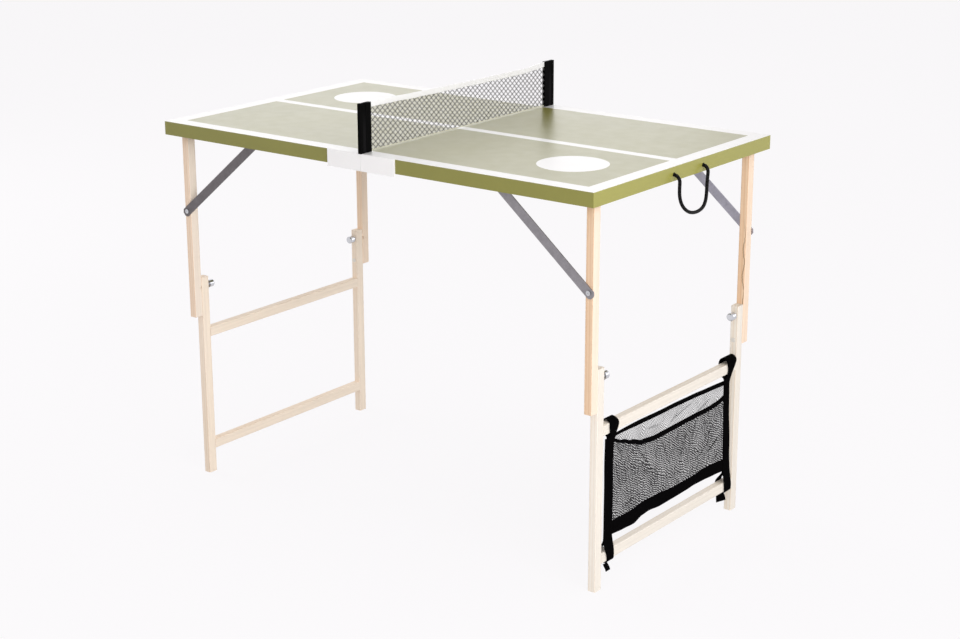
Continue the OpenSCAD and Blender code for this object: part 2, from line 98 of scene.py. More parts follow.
# The straps round the rails: out from the rails' middle, along, up and width.
TURNS = (
    ((9.6, -209, 280, 22), (9.6, -204, 292, 19.5), (9.8, -201.5, 300, 24), (9.8, -200, 308, 29),
     (9.8, -200.5, 315, 28), (6.6, -202, 320.5, 26), (0.5, -202.5, 323.5, 24),
     (-5.5, -200, 321.5, 25), (-9.6, -196.5, 316, 26), (-10.4, -197, 307, 26),
     (-10, -200, 299, 26), (-7, -203, 294.6, 26), (-1, -206, 294.4, 24), (5.5, -209, 293.5, 22),
     (8.2, -210, 288, 22)),
    ((9.6, 195, 280, 20), (9.6, 202, 292, 19), (9.8, 209, 303, 20), (9.8, 212, 312, 27),
     (9.8, 212.6, 320, 34), (6.8, 212.4, 326.5, 34), (0.5, 212, 329.5, 33), (-6, 211.5, 327, 32),
     (-10.2, 211, 319, 30), (-10.5, 210, 307, 28), (-9.4, 207, 298, 26), (-6.5, 204, 294.6, 26),
     (-1, 201, 294, 24), (5.5, 198, 292.5, 22), (8.2, 197, 287, 20)),
    ((9.5, -215, 100, 27), (9.8, -214, 88, 29), (9.7, -210, 76, 28), (9.8, -206, 63, 24),
     (9.6, -205, 52, 22), (7, -205, 47.3, 22), (1, -206, 45.8, 22), (-5.5, -208, 46.6, 22),
     (-9.6, -210, 50.5, 22), (-10.3, -212, 60, 22), (-9.2, -213, 70, 22), (-5, -214, 76, 22),
     (1.5, -214.5, 82, 23), (7, -215, 92, 24), (8, -215, 100, 24)),
    ((9.5, 205, 100, 25), (9.8, 206.5, 88, 26), (9.7, 210, 75, 26), (9.8, 213, 62, 26),
     (9.6, 213, 52, 25), (7, 213, 47.5, 24), (1, 212.5, 46, 24), (-5.5, 212, 46.8, 24),
     (-9.6, 211, 50.5, 24), (-10.2, 210, 60, 24), (-9.2, 209, 71, 24), (-5, 208, 78, 24),
     (1.5, 206.5, 86, 24), (7, 205, 94, 24), (8, 205, 100, 24)),
)
# The straps' loose tails: the two edges, each out, along and up.
TAILS = ((((8.6, -227.5, 48), (8.6, -214.5, 48)), ((10, -225.5, 42), (10, -211.5, 42)),
          ((10.3, -222.5, 37), (10.3, -208.5, 37)), ((10.2, -220, 31), (10.2, -206, 31))),
         (((-6, 200, 47.5), (6.5, 204, 47.5)), ((-7, 198.5, 43), (8.5, 203.5, 45.5)),
          ((-7, 198, 37), (9.6, 204.5, 41)), ((-6.5, 198, 31), (10, 206, 36.5)),
          ((-6, 197.6, 25), (10, 207, 32))))


# ---- settings ----


def colour_setting(name, description, default):
    return bpy.props.FloatVectorProperty(
        name=name, description=description, subtype="COLOR", default=default)


def length_setting(name, description, default):
    return bpy.props.FloatProperty(
        name=name, description=description, unit="LENGTH", default=default)


class TableTopSettings(bpy.types.PropertyGroup):
    green: colour_setting("Green", "Colour of the painted top and rails", (0.221, 0.209, 0.041))
    white: colour_setting("White", "Colour of the painted lines and discs", (0.86, 0.85, 0.83))
    border: length_setting("Border", "Width of the white line along the edges", 0.031)
    centre_line: length_setting("Centre line", "Width of the white line along the middle", 0.022)
    disc: length_setting("Disc", "Radius of the two plain white discs", 0.066)


class WoodSettings(bpy.types.PropertyGroup):
    upper: colour_setting("Upper legs", "Colour of the upper legs' wood", (0.82, 0.595, 0.415))
    sapwood: colour_setting(
        "Sapwood", "Colour of the upper legs' paler wood", (0.83, 0.735, 0.645))
    lower_right: colour_setting(
        "Right frame", "Colour of the right lower legs' and frame rails' wood",
        (0.84, 0.775, 0.69))
    lower_left: colour_setting(
        "Left frame", "Colour of the left lower legs' and frame rails' wood", (0.9, 0.77, 0.64))


class NetSettings(bpy.types.PropertyGroup):
    pitch: length_setting("Mesh", "Width of one diamond of the net", 0.01435)
    row: length_setting("Row", "Height of one diamond of the net", 0.0115)
    slope: bpy.props.FloatProperty(
        name="Slope", description="How far the rows fall for each length along the net",
        default=0.165)
    thread: length_setting("Thread", "Width of the net's threads", 0.0028)


class BagSettings(bpy.types.PropertyGroup):
    pitch: length_setting("Mesh", "Height of one gap and one thread of the front net", 0.0048)


# ---- node helpers ----


class Tree:
    """Adds nodes to a shader tree and links them."""

    def __init__(self, tree):
        self.tree = tree

    def put(self, value, socket):
        """Links a value to an input, or writes it there where it is a plain one."""
        if isinstance(value, bpy.types.NodeSocket):
            self.tree.links.new(value, socket)
        elif socket.type == "RGBA":
            socket.default_value = (*value[:3], 1)
        else:
            socket.default_value = value

    def add(self, kind, inputs=None, **settings):
        node = self.tree.nodes.new("ShaderNode" + kind)
        for key, value in settings.items():
            setattr(node, key, value)
        for key, value in (inputs or {}).items():
            self.put(value, node.inputs[key])
        return node

    def group(self, name, inputs):
        return self.add("Group", inputs, node_tree=bpy.data.node_groups[name]).outputs

    def split(self, vector):
        return self.add("SeparateXYZ", {0: vector}).outputs

    def join(self, x, y, z):
        return self.add("CombineXYZ", {0: x, 1: y, 2: z}).outputs[0]

    def math(self, operation, a, b=0):
        return self.add("Math", {0: a, 1: b}, operation=operation).outputs[0]

    times = partialmethod(math, "MULTIPLY")
    plus = partialmethod(math, "ADD")
    minus = partialmethod(math, "SUBTRACT")
    over = partialmethod(math, "GREATER_THAN")
    under = partialmethod(math, "LESS_THAN")

    def wave(self, operation, value, pitch):
        """A sine or cosine of a value, with one wave to each pitch."""
        return self.math(operation, self.times(self.math("DIVIDE", value, pitch), TURN))

    def mix(self, factor, a, b):
        return self.add("Mix", {0: factor, 6: a, 7: b}, data_type="RGBA").outputs[2]

    def remap(self, value, low, high, to_low=0, to_high=1, smooth=False):
        return self.add("MapRange", {0: value, 1: low, 2: high, 3: to_low, 4: to_high},
                        interpolation_type="SMOOTHSTEP" if smooth else "LINEAR").outputs[0]

    def noise(self, vector, scale, detail=2, roughness=0.5):
        return self.add("TexNoise", {"Vector": vector, "Scale": scale, "Detail": detail,
                                     "Roughness": roughness}).outputs["Fac"]


class Finish(Tree):
    """A new material's tree, with the piece's object coordinates and its UV map."""

    def __init__(self, name):
        self.material = bpy.data.materials.new(name)
        super().__init__(empty_tree(self.material))
        coordinates = self.add("TexCoord").outputs
        self.at, self.uv = coordinates["Object"], coordinates["UV"]

    def dirt(self):
        return self.group("Fine Dirt", {"Vector": self.at})

    def close(self, colour, rough, height, strength, distance, settings):
        """Adds the shader, with a bump made of the height, and returns the material."""
        bump = self.add("Bump", {"Height": height, "Strength": strength, "Distance": distance})
        shader = self.add("BsdfPrincipled", {
            "Base Color": colour, "Roughness": rough, "Normal": bump.outputs[0], **settings})
        self.add("OutputMaterial", {0: shader.outputs[0]})
        return self.material


def empty_tree(owner):
    """The emptied node tree of a material or of the world."""
    owner.use_nodes = True
    owner.node_tree.nodes.clear()
    return owner.node_tree


def wood_grain(tree, ins):
    """Growth rings, streaks and fibres of wood whose grain runs along Z."""
    x, y, z = tree.split(ins["Vector"])

    def drawn_out(share):
        return tree.join(x, y, tree.times(z, share))

    wander = tree.times(tree.minus(tree.noise(drawn_out(0.06), 9), 0.5), 0.03)
    across = tree.plus(tree.plus(x, tree.times(y, 0.35)), wander)
    rings = tree.remap(tree.math("SINE", tree.times(across, ins["Ring Scale"])), -1, 1)
    streaks = tree.noise(drawn_out(0.035), 110, 3, 0.55)
    return (tree.math("POWER", rings, 2.2), tree.remap(streaks, 0.3, 0.7),
            tree.noise(drawn_out(0.012), 900, 2, 0.6))


def weave(tree, ins):
    """A plain weave on a flat coordinate: its height, and where the threads cross."""
    u, v, _ = tree.split(ins["Vector"])
    height = tree.math("ABSOLUTE", tree.times(tree.wave("SINE", u, ins["Pitch"]),
                                              tree.wave("SINE", v, ins["Pitch"])))
    return height, tree.math("POWER", height, 0.5)


def open_mesh(tree, ins):
    """A mesh of round-cornered gaps on a flat coordinate: 1 on the threads, 0 in the gaps."""
    u, v, _ = tree.split(ins["Vector"])
    both = tree.plus(tree.wave("COSINE", tree.plus(u, v), ins["Pitch"]),
                     tree.wave("COSINE", tree.minus(u, v), ins["Pitch"]))
    return tree.minus(1, tree.remap(both, ins["Gap Low"], ins["Gap High"])), both


def fine_dirt(tree, ins):
    """Broad, faint unevenness and small specks, as handling leaves them."""
    broad = tree.noise(ins["Vector"], 7, 3, 0.6)
    specks = tree.noise(ins["Vector"], 420, 1)
    return tree.remap(broad, 0.3, 0.7), tree.remap(specks, 0.68, 0.76)


def new_group(name, values, outputs, build):
    """A node group of a vector and values; build(tree, inputs) returns its outputs in order."""
    tree = bpy.data.node_groups.new(name, "ShaderNodeTree")
    tree.interface.new_socket("Vector", in_out="INPUT", socket_type="NodeSocketVector")
    for key, default in values.items():
        socket = tree.interface.new_socket(key, in_out="INPUT", socket_type="NodeSocketFloat")
        socket.default_value = default
    for key in outputs:
        tree.interface.new_socket(key, in_out="OUTPUT", socket_type="NodeSocketFloat")
    made = build(Tree(tree), tree.nodes.new("NodeGroupInput").outputs)
    end = tree.nodes.new("NodeGroupOutput")
    for key, socket in zip(outputs, made):
        tree.links.new(socket, end.inputs[key])


def make_groups():
    new_group("Wood Grain", {"Ring Scale": 900}, ("Rings", "Streaks", "Fibre"), wood_grain)
    new_group("Weave", {"Pitch": 0.001}, ("Height", "Threads"), weave)
    new_group("Open Mesh", {"Pitch": 0.003, "Gap Low": 0.1, "Gap High": 0.5},
              ("Mask", "Height"), open_mesh)
    new_group("Fine Dirt", {}, ("Broad", "Specks"), fine_dirt)


def tinted(colour, factor):
    return tuple(c * factor for c in colour)


# ---- materials ----


def court_paint(settings):
    """Satin green paint, with the white lines and discs on its upper face."""
    tree = Finish("court_paint")
    x, y, z = tree.split(tree.at)
    out_x, out_y = tree.math("ABSOLUTE", x), tree.math("ABSOLUTE", y)
    marks = [tree.over(out_x, HALF_LENGTH - settings.border),
             tree.over(out_y, HALF_WIDTH - settings.border),
             tree.under(out_y, settings.centre_line / 2)]
    for disc in DISCS:
        away = tree.add("VectorMath", {0: tree.join(x, y, 0), 1: (*disc, 0)},
                        operation="DISTANCE").outputs["Value"]
        marks.append(tree.under(away, settings.disc))
    lines = marks[0]
    for mark in marks[1:]:
        lines = tree.math("MAXIMUM", lines, mark)
    lines = tree.times(lines, tree.over(z, TOP_Z - 0.0003))
    broad, specks = tree.dirt()
    green = tree.mix(broad, tinted(settings.green, 0.96), tinted(settings.green, 1.05))
    # Painted highlight: the end face at the right end is painted paler green for the strong lamp
    # light on it.
    painted_lit_end = tree.remap(x, HALF_LENGTH - 0.0006, HALF_LENGTH - 0.0002)
    green = tree.mix(painted_lit_end, green, tinted(settings.green, 1.34))
    white = tree.mix(broad, tinted(settings.white, 0.985), settings.white)
    colour = tree.mix(tree.times(specks, 0.05), tree.mix(lines, green, white), (0.2, 0.19, 0.12))
    roller = tree.noise(tree.at, 650, 2, 0.6)
    height = tree.plus(tree.times(roller, 0.6), tree.times(lines, 0.5))
    rough = tree.remap(tree.noise(tree.at, 40, 3), 0.3, 0.7, 0.3, 0.38)
    varnish = tree.remap(z, TOP_Z - 0.002, TOP_Z - 0.0005, 0.22, 1)
    return tree.close(colour, rough, height, 0.12, 0.0004, {
        "IOR": 1.45, "Coat Weight": varnish, "Coat Roughness": 0.34, "Coat IOR": 1.6})


def sprayed_paint(name, colour, rough):
    """Sprayed paint on metal, with a faint orange-peel skin."""
    tree = Finish(name)
    broad, specks = tree.dirt()
    body = tree.mix(broad, tinted(colour, 0.97), colour)
    body = tree.mix(tree.times(specks, 0.04), body, (0.3, 0.28, 0.25))
    return tree.close(body, tree.remap(broad, 0, 1, rough, rough + 0.06),
                      tree.noise(tree.at, 900), 0.1, 0.0003, {"IOR": 1.5})


def wood(name, colour, along, contrast=1, marks=None):
    """Planed softwood under clear lacquer, with its grain along one axis.

    marks(tree, body) may add a piece's own tones and flaws to the body colour.
    """
    tree = Finish(name)
    turn = {"z": (0, 0, 0), "y": (math.pi / 2, 0, 0)}[along]
    turned = tree.add("Mapping", {"Vector": tree.at, "Rotation": turn}).outputs[0]
    rings, streaks, fibre = tree.group("Wood Grain", {"Vector": turned})
    dark = (colour[0] * 0.8, colour[1] * 0.62, colour[2] * 0.44)
    body = tree.mix(tree.times(rings, 0.42 * contrast), colour, dark)
    body = tree.mix(tree.times(streaks, 0.22 * contrast), body, dark)
    pores = tree.remap(fibre, 0.56, 0.72, 0, 0.2 * contrast)
    body = tree.mix(pores, body, tinted(dark, 0.7))
    tone = tree.remap(tree.noise(tree.at, 3.1, 1), 0.35, 0.65, 0, 0.35)
    body = tree.mix(tone, body, (min(1, colour[0] * 1.04), colour[1] * 1.07, colour[2] * 1.12))
    if marks:
        body = marks(tree, body)
    height = tree.plus(tree.times(fibre, 0.7), tree.times(rings, 0.3))
    return tree.close(body, tree.remap(streaks, 0, 1, 0.42, 0.55), height, 0.25, 0.0003,
                      {"IOR": 1.45})


def wood_marks(face, pale, dark, crack=False, along="z"):
    """Painted light and shade on a leg or rail: its face towards the right end in its own tone for
    the lamp light on it, its top darkened for the shade under the table; and a fine crack.
    """
    def marks(tree, body):
        x, y, z = tree.split(tree.at)
        run = (tree.join(x, y, tree.times(z, 0.02)) if along == "z" else
               tree.join(x, tree.times(y, 0.02), z))
        grain = tree.noise(run, 300)
        # Painted light: the face towards the right end gets its own tone, set for the lamp light
        # on that face.
        tone = tree.mix(tree.remap(grain, 0.35, 0.65), tinted(pale, 0.95), tinted(pale, 1.02))
        body = tree.mix(tree.remap(x, face - 0.0006, face - 0.0002), body, tone)
        # Painted shade: the top of the leg is darkened for the shade under the table.
        shade_height = tree.plus(z, tree.times(grain, 0.05))
        body = tree.mix(tree.remap(shade_height, 0.725, 0.775, 0, 0.55, smooth=True), body, dark)
        if crack:
            wave = tree.times(tree.math("SINE", tree.times(z, 114)), 0.0018)
            small = tree.noise(tree.join(0, 0, z), 160)
            wave = tree.plus(wave, tree.times(small, 0.004))
            lean = tree.remap(z, 0.427, 0.47, 0.003, 0)
            line = tree.minus(tree.minus(x, tree.plus(wave, lean)), face - 0.0056)
            line = tree.remap(tree.math("ABSOLUTE", line), 0.0004, 0.0016, 0.85, 0)
            for part in (tree.under(x, face - 0.0008), tree.remap(z, 0.425, 0.428),
                         tree.remap(z, 0.54, 0.6, 1, 0)):
                line = tree.times(line, part)
            body = tree.mix(line, body, tinted(dark, 0.42))
        return body
    return marks


def brushed_metal(name, colour, rough, stretch=(1, 1, 1), metallic=1):
    """Rolled or drawn metal, with fine lines along its stretched axis and faint blotches."""
    tree = Finish(name)
    drawn = tree.add("Mapping", {"Vector": tree.at, "Scale": stretch}).outputs[0]
    lines = tree.noise(drawn, 260, 2, 0.6)
    blotch = tree.remap(tree.noise(tree.at, 55, 3, 0.6), 0.3, 0.7)
    body = tree.mix(blotch, tinted(colour, 0.88), tinted(colour, 1.1))
    body = tree.mix(tree.times(lines, 0.3), body, tinted(colour, 0.75))
    return tree.close(body, tree.remap(lines, 0.3, 0.7, rough, rough + 0.12), lines, 0.08, 0.0002,
                      {"Metallic": metallic})


def moulded_plastic(name, dark, light, speck, speck_share, rough, settings, marks=None):
    """Dark plastic with a fine moulded grain; marks may add to its colour, as on wood."""
    tree = Finish(name)
    broad, specks = tree.dirt()
    body = tree.mix(tree.times(specks, speck_share), tree.mix(broad, dark, light), speck)
    if marks:
        body = marks(tree, body)
    grain = tree.noise(tree.at, 1400)
    return tree.close(body, tree.remap(grain, 0.3, 0.7, rough, rough + 0.12), grain, 0.15, 0.0002,
                      settings)


def cloth(name, colour, pitch, shade, sheen=0.3, strength=0.6, gloss=0.4):
    """Woven tape or webbing; the weave follows the piece's own UV map, in metres."""
    tree = Finish(name)
    height, threads = tree.group("Weave", {"Vector": tree.uv, "Pitch": pitch})
    fuzz = tree.noise(tree.at, 1800)
    body = tree.mix(threads, tinted(colour, shade), colour)
    body = tree.mix(tree.times(fuzz, 0.3), body, tinted(colour, 1.3))
    return tree.close(body, tree.remap(fuzz, 0.3, 0.7, 0.82, 0.95), height, strength, 0.0003,
                      {"Sheen Weight": sheen, "Sheen Roughness": 0.5,
                       "Specular IOR Level": gloss})


def braided(name, colour):
    """A braided cord; the strands cross on the piece's own UV map, round by along."""
    tree = Finish(name)
    u, v, _ = tree.split(tree.uv)
    height = tree.math("MAXIMUM", *(tree.math("SINE", tree.times(strand, TURN))
                                    for strand in (tree.plus(u, v), tree.minus(u, v))))
    # Painted shade: the grooves between the strands are darkened.
    body = tree.mix(tree.remap(height, -0.4, 0.9), tinted(colour, 0.4), colour)
    return tree.close(body, tree.remap(height, -0.4, 1, 0.75, 0.5), height, 0.7, 0.0006,
                      {"Sheen Weight": 0.02, "Sheen Roughness": 0.4, "Specular IOR Level": 0.12})


def fine_net(name, colour, pitch, open_at, turn):
    """The bag's fine mesh: threads with see-through gaps, on the piece's own UV map.

    The gaps close along the creases, where the net lies double.
    """
    tree = Finish(name)
    turned = tree.add("Mapping", {"Vector": tree.uv, "Rotation": (0, 0, turn),
                                  "Scale": (0.55, 1, 1)}).outputs[0]
    crease = tree.add("Attribute", attribute_name="crease").outputs["Fac"]
    uneven = tree.noise(tree.at, 26)
    pulled = tree.times(tree.minus(uneven, 0.5), 0.01)
    turned = tree.add("VectorMath", {0: turned, 1: tree.join(pulled, pulled, 0)},
                      operation="ADD").outputs[0]
    closed = tree.plus(tree.times(crease, 1.5), tree.remap(uneven, 0.3, 0.7, -0.18, 0.18))
    mask, height = tree.group("Open Mesh", {
        "Vector": turned, "Pitch": pitch, "Gap Low": tree.plus(closed, open_at - 0.15),
        "Gap High": tree.plus(closed, open_at + 0.15)})
    return tree.close(tree.mix(mask, tinted(colour, 1.6), colour),
                      tree.remap(height, -1, 1, 0.6, 0.8), height, 0.4, 0.0002,
                      {"Alpha": mask, "Specular IOR Level": 0.2})


# ---- mesh helpers ----


def add_object(name, data):
    made = bpy.data.objects.new(name, data)
    bpy.context.scene.collection.objects.link(made)
    return made


def mesh_object(name, bm, material):
    mesh = bpy.data.meshes.new(name)
    bm.to_mesh(mesh)
    bm.free()
    mesh.materials.append(material)
    return add_object(name, mesh)


def add_piece(name, bm, material, body, replaces=(), smooth=60):
    """Makes a piece of a finished bmesh, in the table's own frame, and ties it to its body."""
    bmesh.ops.recalc_face_normals(bm, faces=bm.faces)
    piece = mesh_object(name, bm, material)
    piece.data.shade_smooth()
    piece.data.set_sharp_from_angle(angle=math.radians(smooth))
    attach(piece, body)
    if replaces:
        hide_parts(*replaces)
    return piece


def finish_nodes(material, *endings):
    """Gives a material to the CAD nodes whose names have one of the endings."""
    for name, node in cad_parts.items():
        if name.endswith(endings):
            node.data.materials.clear()
            node.data.materials.append(material)


def thicken(piece, thickness, offset=0, bevel=0):
    solid = piece.modifiers.new("thickness", "SOLIDIFY")
    solid.thickness = thickness
    solid.offset = offset
    solid.use_even_offset = True
    if bevel:
        edge = piece.modifiers.new("edges", "BEVEL")
        edge.width = bevel
        edge.segments = 2
        edge.limit_method = "ANGLE"


def grid_sheet(bm, across, along, size, place):
    """A sheet of faces put where place(u, v) says, u and v from 0 to 1; UVs in metres."""
    verts = bmesh.ops.create_grid(bm, x_segments=across, y_segments=along, size=0.5)["verts"]
    layer = bm.loops.layers.uv.verify()
    for face in {face for vert in verts for face in vert.link_faces}:
        for loop in face.loops:
            co = loop.vert.co
            loop[layer].uv = ((co.x + 0.5) * size[0], (co.y + 0.5) * size[1])
    for vert in verts:
        vert.co = place(vert.co.x + 0.5, vert.co.y + 0.5)


def smooth_path(points, parts):
    """Points on a smooth curve through the given points, some parts to each stretch."""
    points = [Vector(point) for point in points]
    path = []
    for a, b, c, d in zip([points[0]] + points, points, points[1:], points[2:] + [points[-1]]):
        for step in range(parts):
            t = step / parts
            path.append(0.5 * (2 * b + (c - a) * t + (2 * a - 5 * b + 4 * c - d) * t * t
                               + (3 * b - a - 3 * c + d) * t ** 3))
    return path + [points[-1]]


def path_length(points):
    return sum((b - a).length for a, b in zip(points, points[1:]))


def tube(bm, points, radius, sides, pitch):
    """A round tube along a path; its UV map is turns round by pitches along."""
    ahead = [(points[min(i + 1, len(points) - 1)] - points[max(i - 1, 0)]).normalized()
             for i in range(len(points))]
    turn = ahead[0].to_track_quat("Z", "Y")
    place = Matrix.LocRotScale(points[0], turn, None)
    layers = bm.verts.layers.float
    around, onward = layers.new("round"), layers.new("along")
    ring = bmesh.ops.create_circle(bm, cap_ends=False, segments=sides, radius=radius,
                                   matrix=place)["verts"]
    for index, vert in enumerate(ring):
        vert[around] = index / sides
    edges = list({edge for vert in ring for edge in vert.link_edges})
    first, along, faces = list(edges), 0, []
    for i in range(1, len(points)):
        turn = ahead[i - 1].rotation_difference(ahead[i]) @ turn
        along += (points[i] - points[i - 1]).length
        made = bmesh.ops.extrude_edge_only(bm, edges=edges)["geom"]
        verts, edges, more = ([item for item in made if isinstance(item, kind)] for kind in (
            bmesh.types.BMVert, bmesh.types.BMEdge, bmesh.types.BMFace))
        faces += more
        following = Matrix.LocRotScale(points[i], turn, None)
        bmesh.ops.transform(bm, matrix=following @ place.inverted(), verts=verts)
        for vert in verts:
            vert[onward] = along / pitch
        place = following
    uv = bm.loops.layers.uv.verify()
    for face in faces:
        seam = max(loop.vert[around] for loop in face.loops) > 0.75
        for loop in face.loops:
            u = loop.vert[around]
            loop[uv].uv = (u + 1 if seam and u < 0.25 else u, loop.vert[onward])
    for rim in (first, edges):
        bmesh.ops.contextual_create(bm, geom=rim)
    for name in ("round", "along"):
        layers.remove(layers[name])


def unit(value):
    """A value kept between 0 and 1."""
    return max(0, min(1, value))


def through(table, at):
    """The height of a smooth line through (place, height) pairs."""
    if at <= table[0][0]:
        return table[0][1]
    for (a, low), (b, high) in zip(table, table[1:]):
        if at <= b:
            t = (at - a) / (b - a)
            return low + (high - low) * t * t * (3 - 2 * t)
    return table[-1][1]


def screw_head(bm, place, radius, height):
    """A low domed head with a cross recess; it stands on place's XY plane."""
    made = bmesh.ops.create_cone(
        bm, cap_ends=True, segments=12, radius1=radius, radius2=radius * 0.74, depth=height,
        matrix=place @ Matrix.Translation((0, 0, height / 2)))["verts"]
    top = max({face for vert in made for face in vert.link_faces},
              key=lambda face: (place.inverted() @ face.calc_center_median()).z)
    bmesh.ops.inset_region(bm, faces=[top], thickness=radius * 0.2, depth=radius * 0.06)
    middle = top.calc_center_median()
    for index, vert in enumerate(top.verts):
        reach = 0.5 if index % 3 == 0 else 0.17
        vert.co = middle + (vert.co - middle).normalized() * radius * reach
    sunk = bmesh.ops.extrude_discrete_faces(bm, faces=[top])["faces"][0]
    down = place.to_3x3() @ Vector((0, 0, -0.7 * height))
    bmesh.ops.translate(bm, vec=down, verts=sunk.verts)
    bmesh.ops.scale(bm, vec=(0.7, 0.7, 0.7), verts=sunk.verts,
                    space=Matrix.Translation(-sunk.calc_center_median()))


# ---- operators ----


class TABLE_OT_stage(bpy.types.Operator):
    """Makes the camera, the pale floor, the soft lamps and the white surroundings"""
    bl_idname = "folding_table.stage"
    bl_label = "Studio stage"

    # The camera's place, its turns in degrees and its lens in millimetres.
    CAMERA = (2.27874, -2.91097, 1.5009)
    CAMERA_TURNS = ((37.518, "Z"), (72.928, "X"), (-0.141, "Z"))
    LENS = 72.1335
    # Each lamp's name, place, aim, size in metres and power in watts.
    LAMPS = (("key", (6.5, -2.2, 2.8), (0, 0, 0.5), 3.5, 208),
             ("fill", (2, -1.9, 1.15), (0.35, 0, 0.6), 1.2, 28),
             ("side", (3.6, 4.2, 1.6), (0.2, 0, 0.6), 2.5, 22),
             ("overhead", (0.3, 0.3, 3.4), (0, 0, 0.7), 2.4, 11),
             ("low", (-3.7, -0.2, 1.6), (0.2, 0, 0.3), 2, 45),
             ("back", (-3.4, 3.9, 2.4), (0, 0, 0.7), 3, 11))
    # The lamps whose reflection would whiten the table's top.
    NOT_IN_GLOSS = ("key", "fill", "low")
    WHITE = (1, 0.985, 1)
    FLOOR_HALF = 40

    def execute(self, context):
        scene = context.scene
        scene.view_settings.view_transform = "Standard"
        scene.camera = camera = add_object("camera", bpy.data.cameras.new("camera"))
        camera.data.lens = self.LENS
        camera.data.clip_end = 200
        stand = Matrix.Translation(self.CAMERA)
        for degrees, axis in self.CAMERA_TURNS:
            stand = stand @ Matrix.Rotation(math.radians(degrees), 4, axis)
        camera.matrix_world = stand
        self.floor()
        self.surroundings(scene)
        for name, place, aim, size, power in self.LAMPS:
            light = bpy.data.lights.new(name, "AREA")
            light.shape = "SQUARE"
            light.size = size
            light.energy = power
            lamp = add_object(name, light)
            lamp.location = place
            lamp.visible_camera = False
            lamp.visible_glossy = name not in self.NOT_IN_GLOSS
            lamp.rotation_euler = (Vector(aim) - Vector(place)).to_track_quat(
                "-Z", "Y").to_euler()
        return {"FINISHED"}

    def seen(self, tree):
        """1 where the camera sees a surface straight, in a gloss or through glass."""
        light = tree.add("LightPath").outputs
        direct = tree.math("MAXIMUM", light["Is Camera Ray"], light["Is Glossy Ray"])
        return tree.math("MAXIMUM", direct, light["Is Transmission Ray"])

    def floor(self):
        material = bpy.data.materials.new("floor")
        tree = Tree(empty_tree(material))
        pale, shade = (tree.add("BsdfDiffuse", {"Color": (grey,) * 3}) for grey in (0.6, 0.07))
        glow = tree.add("Emission", {"Color": self.WHITE, "Strength": 0.895})
        both = tree.add("AddShader", {0: shade.outputs[0], 1: glow.outputs[0]})
        mixed = tree.add("MixShader", {0: self.seen(tree), 1: pale.outputs[0],
                                       2: both.outputs[0]})
        tree.add("OutputMaterial", {0: mixed.outputs[0]})
        bm = bmesh.new()
        bmesh.ops.create_grid(bm, x_segments=1, y_segments=1, size=self.FLOOR_HALF)
        mesh_object("floor", bm, material)

    def surroundings(self, scene):
        scene.world = bpy.data.worlds.new("studio")
        tree = Tree(empty_tree(scene.world))
        strength = tree.remap(self.seen(tree), 0, 1, 0.6, 0.95)
        back = tree.add("Background", {"Color": self.WHITE, "Strength": strength})
        tree.add("OutputWorld", {0: back.outputs[0]})


class TABLE_OT_rope_handle(bpy.types.Operator):
    """Makes the braided rope handle and its knots behind the end rail"""
    bl_idname = "folding_table.rope_handle"
    bl_label = "Rope handle"

    # The length of one braid along the rope, and the number of steps in each knot's turns.
    BRAID = 0.0065
    KNOT_STEPS = 40

    def execute(self, context):
        rope = braided("rope", (0.006, 0.0055, 0.006))
        route = ROPE_HALF + tuple((x, -y, z) for x, y, z in reversed(ROPE_HALF))
        points = smooth_path([ROPE_MIDDLE + Vector(point) * MM for point in route], 3)
        bm = bmesh.new()
        tube(bm, points, 0.00325, 16, self.BRAID)
        handle = add_piece("rope_handle", bm, rope, "right_half", ["handle_rope"])
        bm = bmesh.new()
        for y in (-0.047, 0.053):
            turns = []
            for i in range(self.KNOT_STEPS + 1):
                reach = 0.0022 * min(1, i / 8)
                turns.append(Vector((
                    0.5153 - 0.0122 * i / self.KNOT_STEPS, y + reach * math.sin(i * 0.3),
                    0.742 + reach * 0.5 * (1 - math.cos(i * 0.3)))))
            tube(bm, turns, 0.0031, 12, self.BRAID)
        add_piece("rope_end_knots", bm, rope, "right_half", ["rope_knots"])
        return {"FINISHED"}


class TABLE_OT_top_finish(bpy.types.Operator):
    """Paints the boards and rails and finishes the plates over the seam"""
    bl_idname = "folding_table.top_finish"
    bl_label = "Table top finish"

    def execute(self, context):
        finish_nodes(court_paint(context.scene.table_top),
                     "_board", "_front_rail", "_back_rail", "_end_rail", "_centre_rail")
        finish_nodes(sprayed_paint("white_plate", (0.9, 0.885, 0.88), 0.38), "_seam_plate")
        return {"FINISHED"}


